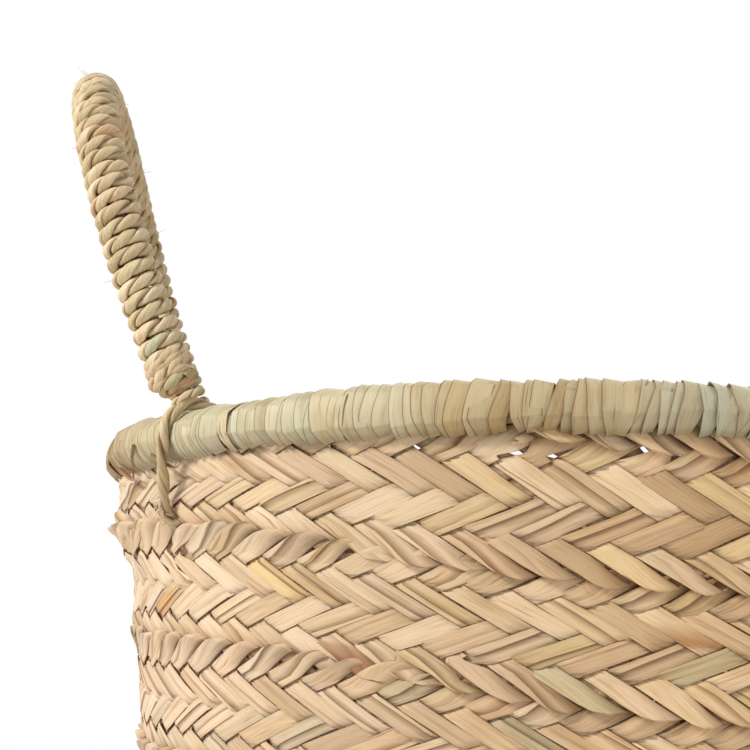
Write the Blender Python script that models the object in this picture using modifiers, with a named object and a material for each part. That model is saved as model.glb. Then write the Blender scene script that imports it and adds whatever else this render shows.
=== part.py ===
"""Belly basket: two flat plaits coiled side by side from a disc at the middle of the base up to a bound rim,
with two cord-wound loop handles that are lashed over the rim and swing in and out on it.

Metres, +Z up. The origin is on the basket's axis, at the surface it stands on. The handles are at -X and +X.
A wall place is an azimuth about +Z and a depth, measured along the wall from the middle of the rim.
"""

import math

import bmesh
import bpy
import numpy as np

# Wall profile, given at the middle of the plait's thickness
RIM_RADIUS = 0.158
RIM_HEIGHT = 0.325
COLLAR_TAPER = math.radians(6.0)
COLLAR_HOLD = 0.075
WAIST_RADIUS = 0.1462
WAIST_HEIGHT = 0.192
WAIST_HOLD = 0.020
BELLY_RADIUS = 0.180
BELLY_HEIGHT = 0.102
BELLY_HOLD = 0.042
HEEL_HOLD = 0.060
BASE_RADIUS = 0.105
BASE_HOLD = 0.046

# The rim dips at the handles and rises between them, and the dip fades out down the collar
RIM_DIP = 0.0027
DIP_DEPTH = 0.040

# Plaits
PLAIT_WIDTH = 0.0336
PLAIT_THICKNESS = 0.004
PLAIT_CROWN = 0.0008
PLAIT_STARTS = 2
PLAIT_PIECES = 14
FIRST_JOIN_DEPTH = 0.0248
TAPER_WIDTH = 0.0012
START_RADIUS = 0.024
STEPS_A_TURN = 36

# Rim
BINDING_RADIUS = 0.00775
HOOP_RADIUS = 0.0048
BINDING_MOUTH = math.radians(36)
BINDING_SPANS = 7
RIM_STEPS = 60

# Handles
HANDLE_HALF_SPAN = 0.0889
HANDLE_RISE = 0.1349
HANDLE_SHOULDER = 0.0493
HANDLE_ROUNDNESS = 2.47
HANDLE_LEAN = math.radians(25.85)
HANDLE_CURL_SHARE = 0.1255
HANDLE_RADIUS = 0.0075
HANDLE_STEPS = 40
CORD_DIAMETER = 0.0043
CORD_TURNS = 42
POINTS_A_TURN = 8
CORD_CLEARANCE = 0.0006

# Knots at the handles' feet, which stand over the lashings
KNOT_TIP_RADIUS = 0.0028
KNOT_TIP_HEIGHT = 0.0122
KNOT_FULL_HEIGHT = 0.0160
KNOT_TOP_HEIGHT = 0.0230
KNOT_RADIUS = 0.0079
KNOT_TOP_RADIUS = 0.0070
SOCKET_DEPTH = 0.0050
KNOT_SIDES = 12

# Lashings
LASHING_DIAMETER = 0.0038
LASHING_OVERRUN = 0.0020
LASHING_FROM = 208
LASHING_TO = -28
LASHING_ARC_POINTS = 10

GAP = 0.0003
MERGE_DISTANCE = 0.00001

SPIRAL_PITCH = PLAIT_STARTS * PLAIT_WIDTH
HALF_THICKNESS = PLAIT_THICKNESS / 2
CORE_RADIUS = HANDLE_RADIUS - CORD_DIAMETER - CORD_CLEARANCE
FOOT_ANGLE = math.asin(HANDLE_HALF_SPAN / RIM_RADIUS)

STRAW = (0.72, 0.56, 0.36)
PALE_LEAF = (0.53, 0.51, 0.33)
CORD_TAN = (0.55, 0.42, 0.25)
REED = (0.42, 0.33, 0.20)


def clear_scene():
    for obj in list(bpy.data.objects):
        bpy.data.objects.remove(obj, do_unlink=True)


def new_collection(name):
    collection = bpy.data.collections.new(name)
    bpy.context.scene.collection.children.link(collection)
    return collection


def straw_material(name, colour, roughness=0.7):
    material = bpy.data.materials.new(name)
    material.use_nodes = True
    shader = material.node_tree.nodes["Principled BSDF"]
    shader.inputs["Base Color"].default_value = (*colour, 1.0)
    shader.inputs["Roughness"].default_value = roughness
    shader.inputs["Metallic"].default_value = 0.0
    return material


def bezier(start, start_pull, end_pull, end, steps=48):
    share = np.linspace(0, 1, steps)[:, None]
    rest = 1 - share
    return (
        rest**3 * np.array(start)
        + 3 * rest**2 * share * np.array(start_pull)
        + 3 * rest * share**2 * np.array(end_pull)
        + share**3 * np.array(end)
    )


def wall_profile():
    """Radius and height down the wall, from the rim over waist and belly to the middle of the base."""
    rim = (RIM_RADIUS, RIM_HEIGHT)
    collar_pull = (
        RIM_RADIUS - COLLAR_HOLD * math.sin(COLLAR_TAPER),
        RIM_HEIGHT - COLLAR_HOLD * math.cos(COLLAR_TAPER),
    )
    waist = (WAIST_RADIUS, WAIST_HEIGHT)
    belly = (BELLY_RADIUS, BELLY_HEIGHT)
    base = (BASE_RADIUS, HALF_THICKNESS)
    collar = bezier(rim, collar_pull, (WAIST_RADIUS, WAIST_HEIGHT + WAIST_HOLD), waist)
    swell = bezier(
        waist,
        (WAIST_RADIUS, WAIST_HEIGHT - BELLY_HOLD),
        (BELLY_RADIUS, BELLY_HEIGHT + BELLY_HOLD),
        belly,
    )
    heel = bezier(
        belly,
        (BELLY_RADIUS, BELLY_HEIGHT - HEEL_HOLD),
        (BASE_RADIUS + BASE_HOLD, HALF_THICKNESS),
        base,
    )
    return np.vstack([collar, swell[1:], heel[1:], [[0.0, HALF_THICKNESS]]])


PROFILE = wall_profile()
PROFILE_DEPTHS = np.concatenate(
    [[0.0], np.cumsum(np.linalg.norm(np.diff(PROFILE, axis=0), axis=1))]
)
CENTRE_DEPTH = float(PROFILE_DEPTHS[-1])
FLAT_DEPTH = float(PROFILE_DEPTHS[-2])
WALL_TOP_DEPTH = HOOP_RADIUS + GAP
LAST_DEPTH = CENTRE_DEPTH - START_RADIUS - GAP


def profile_at(depth):
    radius = np.interp(depth, PROFILE_DEPTHS, PROFILE[:, 0])
    height = np.interp(depth, PROFILE_DEPTHS, PROFILE[:, 1])
    return np.array([radius, height])


def profile_normal(depth):
    """Unit outward normal of the wall, as radial and vertical parts."""
    reach = PLAIT_THICKNESS
    below = min(depth + reach, CENTRE_DEPTH)
    run = profile_at(below) - profile_at(max(below - 2 * reach, 0.0))
    if depth > FLAT_DEPTH:
        run = np.array([-1.0, 0.0])
    run = run / np.linalg.norm(run)
    return np.array([-run[1], run[0]])


def dip_at(azimuth, depth):
    """How far the dipping rim lowers this place of the wall."""
    fade = max(0.0, 1 - depth / DIP_DEPTH)
    return RIM_DIP * math.cos(2 * azimuth) * fade**2


def wall_point(azimuth, depth, offset=0.0):
    """A place on the wall, moved outward by offset."""
    radius, height = profile_at(depth) + offset * profile_normal(depth)
    height -= dip_at(azimuth, depth)
    return (radius * math.cos(azimuth), radius * math.sin(azimuth), height)


def join_depth(azimuth):
    """Depth of the first join below the rim, which sinks by one pitch a turn."""
    return FIRST_JOIN_DEPTH + SPIRAL_PITCH * (azimuth - math.pi) / math.tau


def add_object(name, data, collection, material, parent=None):
    obj = bpy.data.objects.new(name, data)
    collection.objects.link(obj)
    obj.parent = parent
    if not data.materials:
        data.materials.append(material)
    return obj


def mesh_from(name, points, faces):
    """A smooth-shaded mesh whose faces all point outward."""
    mesh = bpy.data.meshes.new(name)
    mesh.from_pydata([tuple(point) for point in points], [], faces)
    form = bmesh.new()
    form.from_mesh(mesh)
    bmesh.ops.recalc_face_normals(form, faces=form.faces)
    form.to_mesh(mesh)
    form.free()
    mesh.shade_smooth()
    mesh.set_sharp_from_angle(angle=math.radians(40))
    return mesh


def loft(name, sections, closed=False):
    """A skin over sections of equal point counts, capped at both ends or closed into a ring."""
    count = len(sections[0])
    points = [point for section in sections for point in section]
    faces = []
    spans = len(sections) if closed else len(sections) - 1
    for row in range(spans):
        here = row * count
        there = (row + 1) % len(sections) * count
        for column in range(count):
            after = (column + 1) % count
            faces.append((here + column, here + after, there + after, there + column))
    if not closed:
        faces.append(tuple(range(count)))
        faces.append(tuple(range(len(points) - count, len(points))))
    return mesh_from(name, points, faces)


def cord_curve(name, points, radius, bevel_resolution):
    """A round cord along a poly line, with both ends filled."""
    curve = bpy.data.curves.new(name, "CURVE")
    curve.dimensions = "3D"
    curve.bevel_depth = radius
    curve.bevel_resolution = bevel_resolution
    curve.use_fill_caps = True
    spline = curve.splines.new("POLY")
    spline.points.add(len(points) - 1)
    for target, point in zip(spline.points, points):
        target.co = (*point, 1.0)
    spline.use_smooth = True
    return curve


def evenly_along(points, count):
    """The same route with evenly spaced points."""
    points = np.asarray(points)
    run = np.concatenate([[0.0], np.cumsum(np.linalg.norm(np.diff(points, axis=0), axis=1))])
    places = np.linspace(0, run[-1], count)
    return np.column_stack([np.interp(places, run, points[:, axis]) for axis in range(3)])


def smooth_through(points, spans=4):
    """A Catmull-Rom curve through the route's own points."""
    points = np.asarray(points)
    ends = np.vstack([2 * points[0] - points[1], points, 2 * points[-1] - points[-2]])
    route = []
    for first, start, end, last in zip(ends, ends[1:], ends[2:], ends[3:]):
        for share in np.linspace(0, 1, spans, endpoint=False):
            bend = (2 * first - 5 * start + 4 * end - last) * share**2
            swing = (3 * start - first - 3 * end + last) * share**3
            route.append(start + ((end - first) * share + bend + swing) / 2)
    route.append(points[-1])
    return np.array(route)


def plait_section(azimuth, upper, lower):
    """Closed outline of a plait across its width: a low crown outside, flat inside."""
    middle = (upper + lower) / 2
    crown = PLAIT_CROWN * max(0.0, profile_normal(middle)[0])
    return [
        wall_point(azimuth, upper, HALF_THICKNESS),
        wall_point(azimuth, middle, HALF_THICKNESS + crown),
        wall_point(azimuth, lower, HALF_THICKNESS),
        wall_point(azimuth, lower, -HALF_THICKNESS),
        wall_point(azimuth, middle, -HALF_THICKNESS),
        wall_point(azimuth, upper, -HALF_THICKNESS),
    ]


def plait_edges(azimuth, start):
    """Upper and lower edge of one plait, cut off at the rim and at the starting disc."""
    lower = join_depth(azimuth) + start * PLAIT_WIDTH
    upper = lower - PLAIT_WIDTH
    upper = max(upper + GAP / 2, WALL_TOP_DEPTH)
    lower = min(lower - GAP / 2, LAST_DEPTH)
    return upper, lower


def plait_steps(start):
    """The steps round the basket at which this plait is wide enough to be there."""
    steps = []
    most = STEPS_A_TURN * (2 + math.ceil(CENTRE_DEPTH / SPIRAL_PITCH))
    for step in range(-STEPS_A_TURN, most):
        upper, lower = plait_edges(step * math.tau / STEPS_A_TURN, start)
        if lower - upper >= TAPER_WIDTH:
            steps.append(step)
    return steps


def plait_piece(name, steps, start):
    """A stretch of one plait, ending half a gap short of its neighbours."""
    sections = []
    for step in steps:
        azimuth = step * math.tau / STEPS_A_TURN
        upper, lower = plait_edges(azimuth, start)
        inset = GAP / 2 / max(profile_at((upper + lower) / 2)[0], START_RADIUS)
        if step == steps[0]:
            azimuth += inset
        if step == steps[-1]:
            azimuth -= inset
        upper, lower = plait_edges(azimuth, start)
        sections.append(plait_section(azimuth, upper, lower))
    return loft(name, sections)


def make_plaits(collection):
    """Each plait in pieces of about half a turn, counted from the rim down to the middle of the base."""
    for start in range(PLAIT_STARTS):
        letter = "ab"[start]
        steps = plait_steps(start)
        last_step = len(steps) - 1
        ends = [round(piece * last_step / PLAIT_PIECES) for piece in range(PLAIT_PIECES + 1)]
        for piece, (first, last) in enumerate(zip(ends, ends[1:]), 1):
            name = f"plait_{letter}_part_{piece:02d}"
            mesh = plait_piece(name, steps[first : last + 1], start)
            add_object(name, mesh, collection, straw_material(name, STRAW))


def make_starting_disc(collection):
    form = bmesh.new()
    bmesh.ops.create_cone(
        form,
        cap_ends=True,
        segments=STEPS_A_TURN,
        radius1=START_RADIUS,
        radius2=START_RADIUS,
        depth=PLAIT_THICKNESS,
    )
    mesh = bpy.data.meshes.new("plait_start_disc")
    form.to_mesh(mesh)
    form.free()
    mesh.shade_smooth()
    mesh.set_sharp_from_angle(angle=math.radians(40))
    material = straw_material("plait_start_disc", STRAW)
    disc = add_object("plait_start_disc", mesh, collection, material)
    disc.location = (0, 0, HALF_THICKNESS)


def rim_frame(azimuth):
    """Rim centre and its outward direction at this azimuth."""
    outward = np.array([math.cos(azimuth), math.sin(azimuth), 0.0])
    centre = outward * RIM_RADIUS
    centre[2] = RIM_HEIGHT - dip_at(azimuth, 0.0)
    return centre, outward


def rim_place(azimuth, angle, radius):
    """A place round the rim's tube: angle 0 points outward and a quarter turn points up."""
    centre, outward = rim_frame(azimuth)
    up = np.array([0.0, 0.0, 1.0])
    return centre + radius * (math.cos(angle) * outward + math.sin(angle) * up)


def make_hoop(collection):
    route = [rim_frame(step * math.tau / RIM_STEPS)[0] for step in range(RIM_STEPS)]
    curve = cord_curve("rim_hoop", route, HOOP_RADIUS, 1)
    curve.splines[0].use_cyclic_u = True
    add_object("rim_hoop", curve, collection, straw_material("rim_hoop", REED))


def make_binding(collection):
    """The strip wound round the hoop: a tube with a mouth below, where the wall's edge goes in."""
    first = -math.pi / 2 + BINDING_MOUTH - COLLAR_TAPER
    sweep = math.tau - 2 * BINDING_MOUTH
    inner = (HOOP_RADIUS + GAP) / math.cos(sweep / BINDING_SPANS / 2)
    angles = [first + sweep * span / BINDING_SPANS for span in range(BINDING_SPANS + 1)]
    sections = []
    for step in range(RIM_STEPS):
        azimuth = step * math.tau / RIM_STEPS
        outside = [rim_place(azimuth, angle, BINDING_RADIUS) for angle in angles]
        inside = [rim_place(azimuth, angle, inner) for angle in reversed(angles)]
        sections.append(outside + inside)
    mesh = loft("rim_binding", sections, closed=True)
    add_object("rim_binding", mesh, collection, straw_material("rim_binding", PALE_LEAF))


def hinge_place():
    """The left handle's hinge: on the chord through the rim's centre at both feet."""
    centre, _ = rim_frame(math.pi + FOOT_ANGLE)
    return (centre[0], 0.0, centre[2])


def handle_place(across, along):
    """A place on the left handle's middle surface, from its hinge: it leans out and curls back up."""
    out = along * math.sin(HANDLE_LEAN) - HANDLE_CURL_SHARE * along**2 / HANDLE_RISE
    return np.array([-out, across, along * math.cos(HANDLE_LEAN)])


def handle_route(foot):
    """The loop's middle line from one foot, over the crown, to the other."""
    shoulder_share = 2 / HANDLE_ROUNDNESS
    loop = [handle_place(-HANDLE_HALF_SPAN, foot)]
    for angle in np.linspace(0, math.pi, 6 * HANDLE_STEPS):
        side = -math.copysign(abs(math.cos(angle)) ** shoulder_share, math.cos(angle))
        height = abs(math.sin(angle)) ** shoulder_share
        along = HANDLE_SHOULDER + (HANDLE_RISE - HANDLE_SHOULDER) * height
        loop.append(handle_place(side * HANDLE_HALF_SPAN, along))
    loop.append(handle_place(HANDLE_HALF_SPAN, foot))
    return np.array(loop)


def foot_direction():
    tip = handle_place(HANDLE_HALF_SPAN, KNOT_TIP_HEIGHT)
    reach = handle_place(HANDLE_HALF_SPAN, KNOT_TOP_HEIGHT) - tip
    return reach / np.linalg.norm(reach)


def winding_route():
    """One helix over the core, from knot to knot."""
    route = evenly_along(handle_route(KNOT_TOP_HEIGHT + GAP + CORD_DIAMETER / 2), 8 * HANDLE_STEPS)
    reach = HANDLE_RADIUS - CORD_DIAMETER / 2
    count = CORD_TURNS * POINTS_A_TURN
    middle = evenly_along(route, count + 1)
    ahead = np.gradient(middle, axis=0)
    ahead /= np.linalg.norm(ahead, axis=1)[:, None]
    side = np.cross(ahead, np.array([1.0, 0.0, 0.0]))
    side /= np.linalg.norm(side, axis=1)[:, None]
    face = np.cross(ahead, side)
    angles = np.arange(count + 1) * math.tau / POINTS_A_TURN
    return middle + reach * (np.cos(angles)[:, None] * side + np.sin(angles)[:, None] * face)


def least_gap(route, diameter, apart):
    """Smallest clear distance between places of a cord that lie this many points apart or more."""
    places = evenly_along(route, 4 * len(route))
    least = math.inf
    for skip in range(4 * apart, 12 * apart):
        distances = np.linalg.norm(places[skip:] - places[:-skip], axis=1)
        least = min(least, float(distances.min()))
    return least - diameter


def knot_mesh():
    """Turned foot knot with a socket for the core, standing on its tip along +Z."""
    socket = CORE_RADIUS + GAP
    top = KNOT_TOP_HEIGHT - KNOT_TIP_HEIGHT
    full = KNOT_FULL_HEIGHT - KNOT_TIP_HEIGHT
    outline = [
        (0.0, top - SOCKET_DEPTH),
        (socket, top - SOCKET_DEPTH),
        (socket, top),
        (KNOT_TOP_RADIUS, top),
        (KNOT_RADIUS, (top + full) / 2),
        (KNOT_RADIUS, full),
        (KNOT_TIP_RADIUS, 0.0),
        (0.0, 0.0),
    ]
    mesh = bpy.data.meshes.new("handle_foot_knot")
    edges = [(place, place + 1) for place in range(len(outline) - 1)]
    mesh.from_pydata([(radius, 0.0, height) for radius, height in outline], edges, [])
    return mesh


def turn_profile(obj):
    screw = obj.modifiers.new("turned", "SCREW")
    screw.steps = KNOT_SIDES
    screw.render_steps = KNOT_SIDES
    screw.use_merge_vertices = True
    screw.merge_threshold = MERGE_DISTANCE
    screw.use_smooth_shade = True


def lashing_route(azimuth):
    """Over the rim and down both faces of the wall to the first join, seen across the rim."""
    round_rim = BINDING_RADIUS + GAP + LASHING_DIAMETER / 2
    down = join_depth(azimuth) + LASHING_OVERRUN
    stand_off = HALF_THICKNESS + PLAIT_CROWN + GAP + LASHING_DIAMETER / 2
    leave = BINDING_RADIUS + LASHING_DIAMETER
    inside = [wall_point(azimuth, depth, -stand_off) for depth in (down, (down + leave) / 2)]
    angles = np.radians(np.linspace(LASHING_FROM, LASHING_TO, LASHING_ARC_POINTS))
    over = [rim_place(azimuth, angle, round_rim) for angle in angles]
    outside = [wall_point(azimuth, depth, stand_off) for depth in ((down + leave) / 2, down)]
    return smooth_through(inside + over + outside, 2)


def make_handle(side, turned, collection):
    """A handle's core, winding and two foot knots, hung on an empty at its hinge."""
    hinge = bpy.data.objects.new(f"handle_{side}_hinge", None)
    collection.objects.link(hinge)
    x, y, z = hinge_place()
    hinge.location = (-x if turned else x, y, z)
    hinge.rotation_euler = (0, 0, math.pi if turned else 0)
    tan = straw_material(f"handle_{side}_cord", CORD_TAN)
    reed = straw_material(f"handle_{side}_core", REED)

    core_foot = KNOT_TOP_HEIGHT - SOCKET_DEPTH + GAP
    core = evenly_along(handle_route(core_foot), HANDLE_STEPS)
    curve = cord_curve(f"handle_{side}_core", core, CORE_RADIUS, 1)
    add_object(f"handle_{side}_core", curve, collection, reed, hinge)

    winding = winding_route()
    curve = cord_curve(f"handle_{side}_winding", winding, CORD_DIAMETER / 2, 1)
    add_object(f"handle_{side}_winding", curve, collection, tan, hinge)

    for end in (-1, 1):
        place = "front" if (end < 0) != turned else "back"
        knot = add_object(f"handle_{side}_knot_{place}", knot_mesh(), collection, tan, hinge)
        knot.location = handle_place(end * HANDLE_HALF_SPAN, KNOT_TIP_HEIGHT)
        direction = foot_direction()
        knot.rotation_euler = (0, math.atan2(direction[0], direction[2]), 0)
        turn_profile(knot)


def make_lashings(collection):
    for side, middle in (("left", math.pi), ("right", math.tau)):
        for end in (-1, 1):
            place = "back" if end < 0 else "front"
            if side == "right":
                place = "front" if end < 0 else "back"
            name = f"lashing_{side}_{place}"
            azimuth = middle + end * FOOT_ANGLE
            depth_azimuth = math.pi + end * FOOT_ANGLE
            route = turned_route(lashing_route(depth_azimuth), azimuth - depth_azimuth)
            curve = cord_curve(name, route, LASHING_DIAMETER / 2, 1)
            add_object(name, curve, collection, straw_material(name, CORD_TAN))


def turned_route(route, angle):
    """The route turned about the basket's axis."""
    cosine, sine = math.cos(angle), math.sin(angle)
    x, y, z = np.asarray(route).T
    return np.column_stack([x * cosine - y * sine, x * sine + y * cosine, z])


def main():
    clear_scene()
    collection = new_collection("belly_basket")
    make_starting_disc(collection)
    make_plaits(collection)
    make_hoop(collection)
    make_binding(collection)
    make_handle("left", False, collection)
    make_handle("right", True, collection)
    make_lashings(collection)
    gap = least_gap(winding_route(), CORD_DIAMETER, POINTS_A_TURN // 2)
    print(f"handle winding: {CORD_TURNS} turns, least gap to itself {gap * 1000:.2f} mm")


main()
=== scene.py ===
import math

import bpy
import numpy as np
from mathutils import Matrix


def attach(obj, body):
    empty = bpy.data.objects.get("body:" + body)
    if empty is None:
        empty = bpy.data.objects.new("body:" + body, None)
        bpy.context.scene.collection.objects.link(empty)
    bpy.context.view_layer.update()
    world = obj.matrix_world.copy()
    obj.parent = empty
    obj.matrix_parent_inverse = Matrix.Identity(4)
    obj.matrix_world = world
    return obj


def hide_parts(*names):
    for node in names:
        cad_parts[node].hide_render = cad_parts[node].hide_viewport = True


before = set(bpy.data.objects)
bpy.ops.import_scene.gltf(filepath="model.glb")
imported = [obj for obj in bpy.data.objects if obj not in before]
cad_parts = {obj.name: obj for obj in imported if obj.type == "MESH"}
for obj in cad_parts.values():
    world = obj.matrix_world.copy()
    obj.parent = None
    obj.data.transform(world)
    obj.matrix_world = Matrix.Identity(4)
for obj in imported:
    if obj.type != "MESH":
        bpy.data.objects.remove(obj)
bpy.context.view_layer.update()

# Looks of the belly basket: every leaf strip of its two plaits, the leaf wound round its rim, and the two-ply
# cord of its handles and lashings. Metres, +Z up, in the CAD's own frame. A wall place is an azimuth about +Z
# and a depth, measured along the wall from the middle of the rim. Along a plait, places are counted in strand
# pitches, and along a strand in the crossing strands that it passes.

# Wall, as in the CAD
RIM_RADIUS = 0.158
RIM_HEIGHT = 0.325
COLLAR_TAPER = math.radians(6.0)
COLLAR_HOLD = 0.075
WAIST_RADIUS = 0.1462
WAIST_HEIGHT = 0.192
WAIST_HOLD = 0.020
BELLY_RADIUS = 0.180
BELLY_HEIGHT = 0.102
BELLY_HOLD = 0.042
HEEL_HOLD = 0.060
BASE_RADIUS = 0.105
BASE_HOLD = 0.046
RIM_DIP = 0.0027
DIP_DEPTH = 0.040
HALF_THICKNESS = 0.002
TABLE_STEP = 0.001

# Plaits, as in the CAD
PLAIT_WIDTH = 0.0336
PLAIT_PIECES = 14
SPIRAL_PITCH = 2 * PLAIT_WIDTH
FIRST_JOIN_DEPTH = 0.0248
START_RADIUS = 0.024

# Strands of a plait
STRANDS = 11
STRANDS_A_TURN = 74
STRAND_PHASE = 0.3
LEAST_PITCH = 0.0122
STRAND_WIDTH_SHARE = 1.01
LEAF_THICKNESS = 0.00045
LEAF_CROWN = 0.00022
LEAF_BEVEL = 0.00022
PLEAT_STEP = 0.00034
MIDDLE_OFFSET = 0.00072
EDGE_OFFSET = 0.00052
LOOP_REACH = 0.0032
LOOP_TIP_SHARE = 0.12
LOOP_NARROWING = 0.20
LOOP_TILT = 0.00050
LOOP_LIFT = 0.00130
LOOP_CROWN = 0.00120
LAST_STRIP = 0.0050
BARE_STRIP = 0.0100
STRAND_PITCH = math.tau * RIM_RADIUS / STRANDS_A_TURN
COURSE_STEP = 0.01

# Where a falling strand changes sides, where its leaves may end unseen, and how its folds begin
SIDE_CHANGES = (2.5, 5.5, 8.5)
CHANGE_LENGTH = 0.5
HIDDEN_CROSSINGS = (7, 18)
LEAF_END_SHARE = 0.45
LEAST_LEAF = 8
FOLD_FLAT = 0.3
FOLD_FADE = 1.5
PETAL_PLACES = [-1.0, -0.5, 0.15, 0.6, 1.0]
PETAL_REACHES = [0.35, 0.75, 1.0, 0.86, 0.45]

# How unevenly the leaves lie, and how the wall's leaf ends at the rim and on the base
LEAF_TILT = 0.00018
LEAF_STAND = 0.00006
END_SINK = 0.00035
TOP_TUCK = 0.001
START_OVERLAP = 0.002
BASE_EASE = 0.020
HEEL_OFFSET = 0.0035
BASE_SETTLE = 0.0018
ROW_SWAY = 0.0018
SWAY_AZIMUTH = math.radians(230)
SWAY_SHIFT = math.radians(8)
JOIN_TURNOVER = math.radians(241)
PALE_SIDE_AZIMUTH = math.radians(188)
# Painted shade at the borders of the loops' folds, and where one row's loops lie under the other's
FOLD_BORDER_SHADE = 0.50
FOLD_UNDER_SHADE = 0.72

# Rim
BINDING_RADIUS = 0.00775
WRAPS = 284
WRAP_WIDTH = 0.0060
WRAP_THICKNESS = 0.00030
WRAP_LIFT = 0.0011
WRAP_SLANT = 0.0026
WRAP_UNEVENNESS = 0.00017
WRAP_CREASES = 7
WRAP_FROM, WRAP_TO = math.radians(-80), math.radians(262)
WRAP_FLATNESS = 0.42
RIM_SWELL = 0.00040
RIM_SEED = 31

# Outline of a turn: places across it, whether they lie on its under side, and how dark they are, as browned
# cut edges with painted shade along them
WRAP_OUTLINE = [-0.5, -0.475, -0.44, 0.0, 0.44, 0.475, 0.5, 0.46, 0.0, -0.47]
WRAP_UNDER = [0, 0, 0, 0, 0, 0, 0, 1, 1, 1]
WRAP_SHADE = [1.0, 0.60, 0, 0, 0, 0.40, 1.0, 0, 0, 0.1]

# Handles, as in the CAD
HANDLE_HALF_SPAN = 0.0889
HANDLE_RISE = 0.1349
HANDLE_SHOULDER = 0.0493
HANDLE_ROUNDNESS = 2.47
HANDLE_LEAN = math.radians(25.85)
HANDLE_CURL_SHARE = 0.1255
HANDLE_RADIUS = 0.0075
LEAN_AXIS = np.array([1.0, 0.0, 0.0])
FOOT_ANGLE = math.asin(HANDLE_HALF_SPAN / RIM_RADIUS)
KNOT_TIP = 0.0122
KNOT_TOP = 0.0230

# Rough turns at a handle's foot: height above the hinge, reach from the middle, tilt and where each begins
FOOT_TURNS = [
    (0.0158, 0.0037, 0.0003, 0.0),
    (0.0178, 0.0053, -0.0010, 2.0),
    (0.0189, 0.0055, 0.0026, 3.4),
    (0.0205, 0.0057, -0.0022, 4.6),
    (0.0224, 0.0056, 0.0008, 1.0),
]

# Cord
CORD_DIAMETER = 0.0043
CORD_TURNS = 71
CORD_STEPS_A_TURN = 36
WINDING_FOOT = 0.0225
TURN_UNEVENNESS = 0.00016
TWIST_PITCH = 0.0125
PLY_REACH_SHARE = 0.235
PLY_THICKNESS_SHARE = 0.27
PLY_WIDTH_SHARE = 0.38
LASHING_DIAMETER = 0.0040
LASHING_LAY = 0.0190
LASHING_PLY_WIDTH_SHARE = 0.33
LASHING_STEP_ASIDE = math.radians(1.4)
LASHING_SLANT = math.radians(5.6)
LASHING_SINK = 0.0006
LASHING_ARCH_DEGREES = 200, -6
LASHING_INNER_TOP = 0.0120
LASHING_OUTER_TOP = 0.0200
LASHING_END = 0.002
FOOT_LAY = 0.0105
FOOT_PLY_WIDTH_SHARE = 0.34

# Loose fibres
FIBRE_LENGTH = 0.0042
FIBRE_RADIUS = 0.00018
HANDLE_FIBRES = 120
LASHING_FIBRES = 22
JOIN_FIBRES = 12
WALL_FIBRES_ABOVE = 0.040

# Camera, from the fit of the rim, the joins and the handle to the photograph
CAMERA_PLACE = (-0.0966, -0.6480, RIM_HEIGHT - 0.0610)
CAMERA_YAW = math.radians(1.91)
CAMERA_PITCH = math.radians(8.104)
CAMERA_ROLL = math.radians(1.84)
FOCAL_PIXELS = 1881.2
PICTURE_PIXELS = 750

# Studio: each lamp's place, size and power
LAMPS = {
    "key": ((-1.95, -1.05, 1.7), 0.6, 55),
    "fill": ((1.8, -1.2, 0.9), 1.6, 9),
    "back": ((0.4, 1.9, 1.5), 1.6, 12),
}
LAMP_AIM = (0, 0, 0.25)
ROOM_GREY = 0.47
FLOOR_GREY = 0.86
FLOOR_RADIUS = 2.6
FLOOR_CORNERS = 96

# Kinds of dry leaf: width of a fibre line, length of a stain, shade of the lines, depth of relief, roughness
LEAF_LOOKS = {
    "dry_palm_leaf": (0.00040, 0.050, (0.80, 0.70, 0.56), 0.00012, 0.62),
    "green_rim_leaf": (0.00028, 0.018, (0.84, 0.80, 0.68), 0.00010, 0.55),
    "twisted_leaf_cord": (0.00028, 0.012, (0.72, 0.62, 0.48), 0.00022, 0.68),
}

# Dry leaf: where along a pattern it is how dark
WHITE = (1, 1, 1)
VEIN_STOPS = [(0.25, (0.55, 0.41, 0.29)), (0.31, (0.93, 0.88, 0.80)), (0.42, WHITE)]
STAIN_STOPS = [(0.30, (0.74, 0.64, 0.50)), (0.45, (0.97, 0.95, 0.92)), (0.60, WHITE)]
# Brown that the edge attribute blends in: partly browned cut edges, partly painted shade in cracks, creases,
# under folds and between plies
EDGE_BROWN_AND_SHADE = (0.30, 0.185, 0.10)
LEAF_ATTRIBUTES = [
    ("tint", "FLOAT_COLOR", "color"),
    ("fibre", "FLOAT_VECTOR", "vector"),
    ("edge", "FLOAT", "value"),
]
ROUGHNESS_SPREAD = 0.12
SHARP_ANGLE = math.radians(38)


def add_object(name, data):
    obj = bpy.data.objects.new(name, data)
    bpy.context.scene.collection.objects.link(obj)
    return obj


def set_axes(obj, right, up, back, place):
    """Turns an object so that its own X, Y and Z point right, up and back, and puts it in its place."""
    turned = np.eye(4)
    turned[:3, :3] = np.column_stack([right, up, back])
    turned[:3, 3] = place
    obj.matrix_world = Matrix(turned.tolist())


def make_camera():
    data = bpy.data.cameras.new("camera")
    data.sensor_width = 36
    data.lens = FOCAL_PIXELS * data.sensor_width / PICTURE_PIXELS
    data.clip_end = 50
    camera = add_object("camera", data)
    level = math.cos(CAMERA_PITCH)
    ahead = np.array([math.sin(CAMERA_YAW) * level, math.cos(CAMERA_YAW) * level, math.sin(CAMERA_PITCH)])
    right = np.cross(ahead, [0, 0, 1])
    right /= np.linalg.norm(right)
    up = np.cross(right, ahead)
    cosine, sine = math.cos(CAMERA_ROLL), math.sin(CAMERA_ROLL)
    set_axes(camera, cosine * right + sine * up, cosine * up - sine * right, -ahead, CAMERA_PLACE)
    bpy.context.scene.camera = camera


def add_lamp(name, place, size, power):
    data = bpy.data.lights.new(name, "AREA")
    data.shape = "DISK"
    data.size = size
    data.energy = power
    back = np.array(place) - np.array(LAMP_AIM)
    back /= np.linalg.norm(back)
    side = np.cross([0, 0, 1], back)
    side /= np.linalg.norm(side)
    set_axes(add_object(name, data), side, np.cross(back, side), back, place)


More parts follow.
